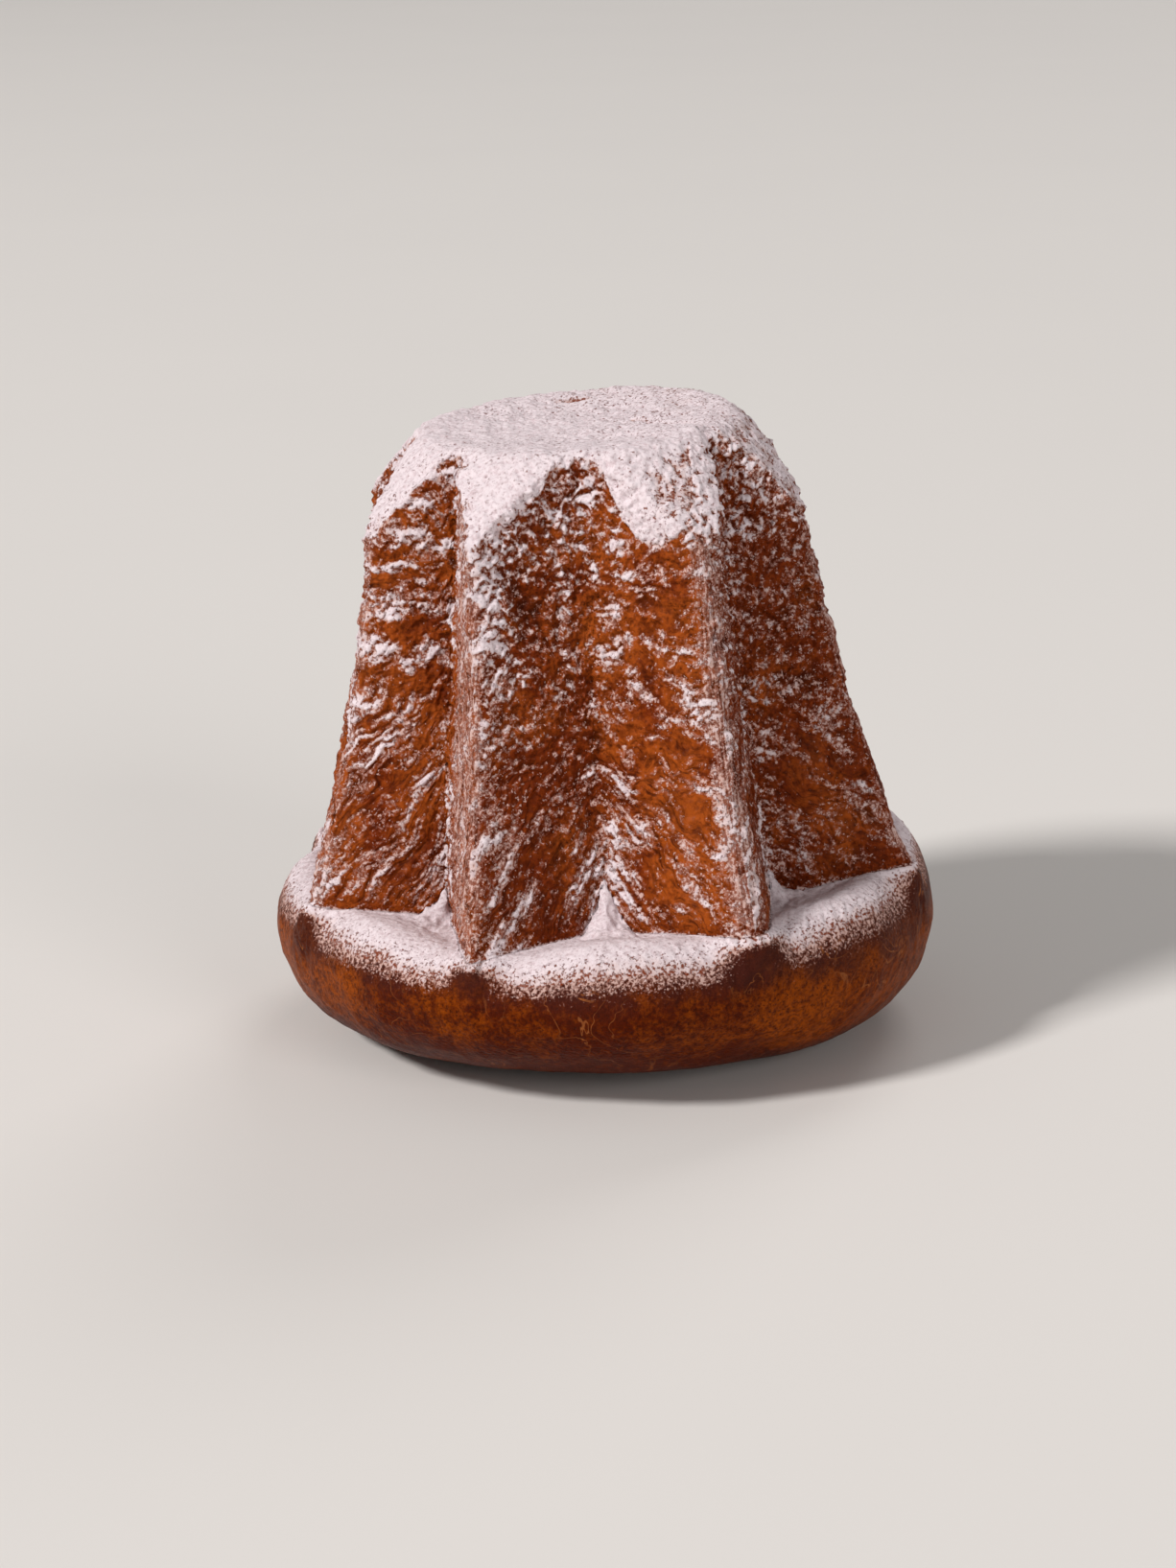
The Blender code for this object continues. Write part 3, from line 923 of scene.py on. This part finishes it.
class PANDORO_OT_collar(bpy.types.Operator):
    """Make the collar of risen dough that the star stands on"""
    bl_idname = "pandoro.collar"
    bl_label = "Collar crust"

    def execute(self, context):
        rows = np.arange(0, COLLAR_END + 5, 2)
        sink = 0.8 * MM * clamp((rows - COLLAR_END) / 4)
        crust_ring(context.scene, "crust_collar", rows, 2, sink, (0.0, 0.08))
        return {"FINISHED"}


# ---------------------------------------------------------------- sugar

def remove_bare(piece, bare):
    """Delete the faces whose corners are all bare, and merge what lies on one spot."""
    mesh = piece.data
    corners = np.empty(len(mesh.loops), np.int32)
    mesh.loops.foreach_get("vertex_index", corners)
    mesh.vertices.foreach_set("select", np.zeros(len(mesh.vertices), bool))
    mesh.edges.foreach_set("select", np.zeros(len(mesh.edges), bool))
    mesh.polygons.foreach_set("select", bare[corners].reshape(-1, 4).all(axis=1))
    bpy.ops.object.mode_set(mode="EDIT")
    bpy.ops.mesh.select_mode(type="FACE")
    bpy.ops.mesh.delete(type="FACE")
    bpy.ops.mesh.select_all(action="SELECT")
    bpy.ops.mesh.remove_doubles(threshold=SAME_SPOT)
    bpy.ops.mesh.delete_loose(use_verts=True, use_edges=True, use_faces=False)
    bpy.ops.object.mode_set(mode="OBJECT")


def thicken(piece, skin):
    """Give the sugar its inner face, and the surface's own normals on both."""
    outer = len(piece.data.vertices)
    bpy.ops.object.modifier_add(type="SOLIDIFY")
    solidify = piece.modifiers[-1]
    solidify.thickness = skin
    solidify.offset = -1.0
    bpy.ops.object.modifier_apply(modifier=solidify.name)
    mesh = piece.data
    normals = np.empty(len(mesh.vertices) * 3, np.float32)
    mesh.attributes["outward"].data.foreach_get("vector", normals)
    normals = normals.reshape(-1, 3)
    normals[outer:] *= -1
    mesh.attributes.remove(mesh.attributes["outward"])
    mesh.shade_smooth()
    mesh.normals_split_custom_set_from_vertices(normals.tolist())


def lay_sugar(scene, names, rows, first, width, step=1):
    """Thin closed skins of sugar side by side, each as many columns wide as width says."""
    cake = cake_surface(scene)
    read = ("dust", "combed", "nose", "along", "down")
    fields = {key: cake.fields[key] for key in read} | {"outward": cake.sugar_normal}
    for number, name in enumerate(names):
        columns = first + number * width + np.arange(0, width + 1, step)
        picked = np.ix_(rows, columns % COLUMNS)
        piece, spots = placed_grid(name, cake.sugar_top[picked])
        give_values(piece, spots, {key: field[picked] for key, field in fields.items()})
        remove_bare(piece, cake.cover[picked][spots] < 0.0)
        thicken(piece, scene.pandoro_sugar.skin)
        finish_piece(piece, sugar_material(scene))


class PANDORO_OT_sugar_plateau(bpy.types.Operator):
    """Lay the sugar on the plateau"""
    bl_idname = "pandoro.sugar_plateau"
    bl_label = "Sugar on the plateau"

    def execute(self, context):
        rows = np.arange(WALL_END, LAST_ROW + 1)
        lay_sugar(context.scene, ("sugar_plateau",), rows, 0, COLUMNS, 4)
        return {"FINISHED"}


class PANDORO_OT_sugar_ridges(bpy.types.Operator):
    """Lay the sugar on the slants and on the folds of the star wall"""
    bl_idname = "pandoro.sugar_ridges"
    bl_label = "Sugar on the ridges"

    def execute(self, context):
        names = ("sugar_front", "sugar_right", "sugar_back", "sugar_left")
        rows = np.arange(COLLAR_END, WALL_END + 1)
        lay_sugar(context.scene, names, rows, FLANK, QUARTER)
        return {"FINISHED"}


class PANDORO_OT_sugar_ledge(bpy.types.Operator):
    """Lay the sugar on the collar's ledge and in the drifts"""
    bl_idname = "pandoro.sugar_ledge"
    bl_label = "Sugar on the ledge"

    def execute(self, context):
        names = ("sugar_ledge_right", "sugar_ledge_left")
        rows = np.arange(SHOULDER_ROW, COLLAR_END + 2)
        lay_sugar(context.scene, names, rows, 5 * FLANK, COLUMNS // 2)
        return {"FINISHED"}


# ---------------------------------------------------------------- materials

def set_inputs(tree, node, inputs):
    """Give a node its inputs: each is a value, or another node's output to link."""
    for socket, value in inputs.items():
        if isinstance(value, bpy.types.NodeSocket):
            tree.links.new(value, node.inputs[socket])
        else:
            node.inputs[socket].default_value = value


def add_node(tree, kind, output, inputs, **settings):
    """Add a node with its settings and inputs, for one of its outputs."""
    made = tree.nodes.new(kind)
    for name, value in settings.items():
        setattr(made, name, value)
    set_inputs(tree, made, inputs)
    return made.outputs[output]


def opaque(tint):
    """A colour as a colour socket takes it; another node's output stays as it is."""
    return tint if isinstance(tint, bpy.types.NodeSocket) else (*tint, 1.0)


def stored(tree, name, output="Fac"):
    """A number, or with output Vector a vector, that the piece's vertices carry."""
    return add_node(tree, "ShaderNodeAttribute", output, {}, attribute_name=name)


def specks(tree, place, spacing, **inputs):
    """Noise with bumps about as wide as the spacing, in millimetres."""
    inputs |= {"Vector": place, "Scale": 1 / (spacing * MM)}
    return add_node(tree, "ShaderNodeTexNoise", "Fac", inputs)


def spread(tree, value, low, high, least=0.0, most=1.0, **settings):
    """The value turned from low and high into least and most."""
    inputs = {0: value, 1: low, 2: high, 3: least, 4: most}
    return add_node(tree, "ShaderNodeMapRange", 0, inputs, **settings)


def maths(tree, operation, *numbers, **settings):
    inputs = dict(enumerate(numbers))
    return add_node(tree, "ShaderNodeMath", 0, inputs, operation=operation, **settings)


def blend(tree, part, under, over):
    """One colour partly over another."""
    inputs = {0: part, 6: opaque(under), 7: opaque(over)}
    return add_node(tree, "ShaderNodeMix", 2, inputs, data_type="RGBA")


def bumps(tree, height, depth):
    inputs = {"Height": height, "Strength": 0.9, "Distance": depth}
    return add_node(tree, "ShaderNodeBump", 0, inputs)


def new_material(name):
    material = bpy.data.materials.get(name)
    if material:
        bpy.data.materials.remove(material)
    material = bpy.data.materials.new(name)
    material.use_nodes = True
    return material, material.node_tree, material.node_tree.nodes["Principled BSDF"]


def dusted(tree):
    """How the dusting breaks up: strokes along the folds, grains, a melted film and white.

    The grains are drawn near a millimetre, coarser than real icing sugar, so that they show."""
    place = add_node(tree, "ShaderNodeTexCoord", "Object", {})
    dust, combed, nose = (stored(tree, name) for name in ("dust", "combed", "nose"))
    along, down = (stored(tree, name, "Vector") for name in ("along", "down"))
    grain, strokes, fibres = (specks(tree, vector, spacing, Detail=4.0, Roughness=0.62)
                              for vector, spacing in ((place, 1.1), (along, 1.15), (down, 1.1)))
    stroke = add_node(tree, "ShaderNodeMix", 0, {0: combed, 2: grain, 3: strokes})
    stroke = add_node(tree, "ShaderNodeMix", 0, {0: nose, 2: stroke, 3: fibres})
    broken = maths(tree, "MULTIPLY_ADD", stroke, STROKE_SHARE, dust)
    broken = maths(tree, "MULTIPLY_ADD", grain, GRAIN_SHARE, broken)
    edge = (STROKE_SHARE + GRAIN_SHARE) / 2
    film = spread(tree, broken, edge - 0.75, edge, 0.0, 0.75)
    white = spread(tree, broken, edge - 0.02, edge + 0.18, interpolation_type="SMOOTHSTEP")
    return SimpleNamespace(
        place=place, dust=dust, stroke=stroke, grain=grain, film=film, white=white)


def crust_material(scene):
    """Baked egg dough: satin, golden to dark brown, with sugar melted into it and painted shade in
    its creases and on its shaded flanks.
    """
    found = bpy.data.materials.get("baked_dough_crust")
    if found:
        return found
    material, tree, shader = new_material("baked_dough_crust")
    crust, sugar, dusting = scene.pandoro_crust, scene.pandoro_sugar, dusted(tree)
    crease_shade, collar, baked_and_shade, scorched, vein = (
        stored(tree, name) for name in ("crease_shade", "collar", "baked", "scorched", "vein"))

    # Unevenly browned: mottled from thinly to well baked; the stored tone also darkens the wall's
    # flanks turned from the key light, which is painted shade.
    mottle = specks(tree, dusting.place, 2.6, Detail=4.0, Roughness=0.6)
    baked = maths(tree, "MULTIPLY_ADD", mottle, 2.0, baked_and_shade)
    baked = maths(tree, "SUBTRACT", baked, 1.0, use_clamp=True)
    thin, well = (blend(tree, collar, star, ring) for star, ring in
                  ((crust.golden, crust.amber), (crust.brown, crust.caramel)))
    colour = blend(tree, baked, thin, well)

    # Dark spots are the crust's own mottle; the darkening of the creases between the folds, where
    # the bump is low, is painted shade.
    spots = spread(tree, mottle, 0.45, 0.72, 0.0, 0.5)
    creases = spread(tree, dusting.stroke, 0.52, 0.34, 0.0, 0.85)

    # Pale hairline cracks on the collar, as in a real skin but spaced wider.
    cracks = specks(tree, dusting.place, 17, Detail=3.0, Distortion=0.8)
    cracks = maths(tree, "ABSOLUTE", maths(tree, "SUBTRACT", cracks, 0.5))
    cracks = spread(tree, cracks, 0.003, 0.010, 1.0, 0.0)
    cracks = maths(tree, "MULTIPLY", cracks, vein)

    # Single stray grains where the dusting is too thin to lie as a skin.
    reach = spread(tree, dusting.dust, -1.7, -0.7, 0.0, 0.22)
    stray = maths(tree, "ADD", specks(tree, dusting.place, 0.9, Detail=2.0), reach)
    stray = spread(tree, stray, 0.80, 0.86, 0.0, 0.8)

    # Over the browned crust: its dark spots, painted crease shade twice, the shoulder band, cracks,
    # the sugar film, stray grains and white sugar.
    for part, over in ((spots, crust.dark), (creases, crust.dark), (crease_shade, crust.dark),
                       (scorched, crust.scorched), (cracks, crust.vein), (dusting.film, crust.haze),
                       (stray, sugar.damp), (dusting.white, sugar.damp)):
        colour = blend(tree, part, colour, over)

    # Bare crust is satin and sugared crust is dull; fine strokes roughen both.
    rough = spread(tree, dusting.film, 0.0, 0.8, 0.38, 0.85)
    set_inputs(tree, shader, {
        "Base Color": colour, "Roughness": rough, "Normal": bumps(tree, dusting.stroke, 0.9 * MM),
        "IOR": 1.45, "Specular IOR Level": 0.05})
    return material


def sugar_material(scene):
    """Icing sugar: a matt powder of tiny grains, faintly damp where it is thin."""
    found = bpy.data.materials.get("icing_sugar_powder")
    if found:
        return found
    material, tree, shader = new_material("icing_sugar_powder")
    crust, sugar, dusting = scene.pandoro_crust, scene.pandoro_sugar, dusted(tree)

    # Thin sugar has drawn moisture and thick sugar is white; painted shade greys it between its
    # clumps, where its bump is low.
    thick = spread(tree, dusting.dust, -0.2, 0.8)
    colour = blend(tree, thick, sugar.damp, sugar.white)
    clumps = specks(tree, dusting.place, 1.6, Detail=5.0, Roughness=0.65)
    sunk = spread(tree, clumps, 0.32, 0.52, 0.9, 0.0)
    colour = blend(tree, sunk, colour, sugar.clump_shade)

    # Tiny pits, painted darker as shaded hollows, make it powder and not cream; the thickest sugar
    # has fewer.
    pits = spread(tree, dusting.grain, 0.47, 0.37, 0.0, 1.0)
    fewer = spread(tree, dusting.dust, 0.85, 1.15, 1.0, 0.35)
    colour = blend(tree, maths(tree, "MULTIPLY", pits, fewer), colour, sugar.pit_shade)

    # Where the dusting breaks up, the filmed crust shows between its grains.
    under = blend(tree, dusting.film, crust.brown, crust.haze)
    colour = blend(tree, dusting.white, under, colour)
    height = maths(tree, "ADD", clumps, dusting.white)
    set_inputs(tree, shader, {
        "Base Color": colour, "Roughness": 0.95, "Normal": bumps(tree, height, 0.5 * MM),
        "IOR": 1.5, "Specular IOR Level": 0.2})
    return material


# ---------------------------------------------------------------- stage

# Each light's place and width in metres, its power in watts and its tint.
LIGHTS = {
    "key_light": ((-10.4, -6.48, 9.67), 2.70, 2120.0, (1.0, 0.97, 0.955)),
    "fill_light": ((7.92, -11.9, 5.54), 7.90, 660.0, (1.0, 0.97, 0.96)),
    "back_light": ((4.90, 10.6, 9.79), 7.40, 467.0, (1.0, 0.98, 0.97)),
}
LIT_SPOT = Vector((0.0, 0.0, 0.11))
WORLD_TINT, WORLD_STRENGTH = (1.0, 0.97, 0.96), 0.20
LENS_MM, SENSOR_MM = 80.0, 36.0
FLOOR_WIDTH = 60.0


def add_light(name, place, width, power, tint):
    deselect_all()
    bpy.ops.object.light_add(type="AREA", location=place)
    light = bpy.context.active_object
    light.name = name
    light.data.shape = "DISK"
    light.data.size = width
    light.data.energy = power
    light.data.color = tint
    light.rotation_euler = (LIT_SPOT - light.location).to_track_quat("-Z", "Y").to_euler()


class PANDORO_OT_stage(bpy.types.Operator):
    """Set the camera, the pale floor and the soft lights"""
    bl_idname = "pandoro.stage"
    bl_label = "Stage"

    def execute(self, context):
        stage = context.scene.pandoro_stage
        self.add_camera(context.scene, stage)
        self.add_floor(stage)
        for name, settings in LIGHTS.items():
            add_light(name, *settings)
        world = context.scene.world or bpy.data.worlds.new("World")
        context.scene.world = world
        world.use_nodes = True
        background = world.node_tree.nodes["Background"]
        background.inputs["Color"].default_value = opaque(WORLD_TINT)
        background.inputs["Strength"].default_value = WORLD_STRENGTH
        context.scene.view_settings.view_transform = "Standard"
        context.scene.view_settings.look = "None"
        return {"FINISHED"}

    @staticmethod
    def add_camera(scene, stage):
        deselect_all()
        bpy.ops.object.camera_add(location=stage.camera_place)
        camera = bpy.context.active_object
        camera.name = "camera"
        pitch, yaw, roll = stage.camera_pitch, stage.camera_yaw, stage.camera_roll
        level = math.cos(pitch)
        ahead = Vector((math.sin(yaw) * level, math.cos(yaw) * level, -math.sin(pitch)))
        right = Vector((math.cos(yaw), -math.sin(yaw), 0.0))
        up = right.cross(ahead)
        right, up = (right * math.cos(roll) - up * math.sin(roll),
                     right * math.sin(roll) + up * math.cos(roll))
        turn = Matrix((right, up, -ahead)).transposed().to_4x4()
        camera.matrix_world = Matrix.Translation(stage.camera_place) @ turn
        camera.data.lens = LENS_MM
        camera.data.sensor_fit = "VERTICAL"
        camera.data.sensor_height = SENSOR_MM
        camera.data.clip_start = 0.01
        scene.camera = camera

    @staticmethod
    def add_floor(stage):
        deselect_all()
        bpy.ops.mesh.primitive_plane_add(size=FLOOR_WIDTH, location=(0.0, 0.0, 0.0))
        floor = bpy.context.active_object
        floor.name = "floor"
        material, tree, shader = new_material("plain_floor")
        place = add_node(tree, "ShaderNodeTexCoord", "Object", {})
        # Faint clouds of shade, a third of a metre wide, keep the floor from looking blank.
        cloud = specks(tree, place, 1000 / 3.0, Detail=3.0)
        tone = spread(tree, cloud, 0.0, 1.0, 0.0, 0.06)
        shade = blend(tree, tone, stage.floor, (0.5, 0.5, 0.5))
        set_inputs(tree, shader, {"Base Color": shade, "Roughness": 0.8})
        floor.data.materials.append(material)


class PANDORO_PT_panel(bpy.types.Panel):
    """The steps that build the pandoro"""
    bl_idname = "PANDORO_PT_panel"
    bl_label = "Pandoro"
    bl_space_type = "VIEW_3D"
    bl_region_type = "UI"
    bl_category = "Pandoro"

    def draw(self, context):
        for step in STEPS:
            self.layout.operator(step.bl_idname)


GROUPS = {
    "pandoro_star": PandoroStar,
    "pandoro_collar": PandoroCollar,
    "pandoro_relief": PandoroRelief,
    "pandoro_crust": PandoroCrust,
    "pandoro_sugar": PandoroSugar,
    "pandoro_stage": PandoroStage,
}
STEPS = (
    PANDORO_OT_stage,
    PANDORO_OT_wedges,
    PANDORO_OT_lid,
    PANDORO_OT_collar,
    PANDORO_OT_sugar_plateau,
    PANDORO_OT_sugar_ridges,
    PANDORO_OT_sugar_ledge,
)


def register():
    for kind in (*GROUPS.values(), *STEPS, PANDORO_PT_panel):
        bpy.utils.register_class(kind)
    for name, group in GROUPS.items():
        setattr(bpy.types.Scene, name, bpy.props.PointerProperty(type=group))


def unregister():
    for name in GROUPS:
        delattr(bpy.types.Scene, name)
    for kind in reversed((*GROUPS.values(), *STEPS, PANDORO_PT_panel)):
        bpy.utils.unregister_class(kind)


def main():
    register()
    bpy.ops.pandoro.stage()
    bpy.ops.pandoro.wedges()
    bpy.ops.pandoro.lid()
    bpy.ops.pandoro.collar()
    bpy.ops.pandoro.sugar_plateau()
    bpy.ops.pandoro.sugar_ridges()
    bpy.ops.pandoro.sugar_ledge()


if __name__ == "__main__":
    main()
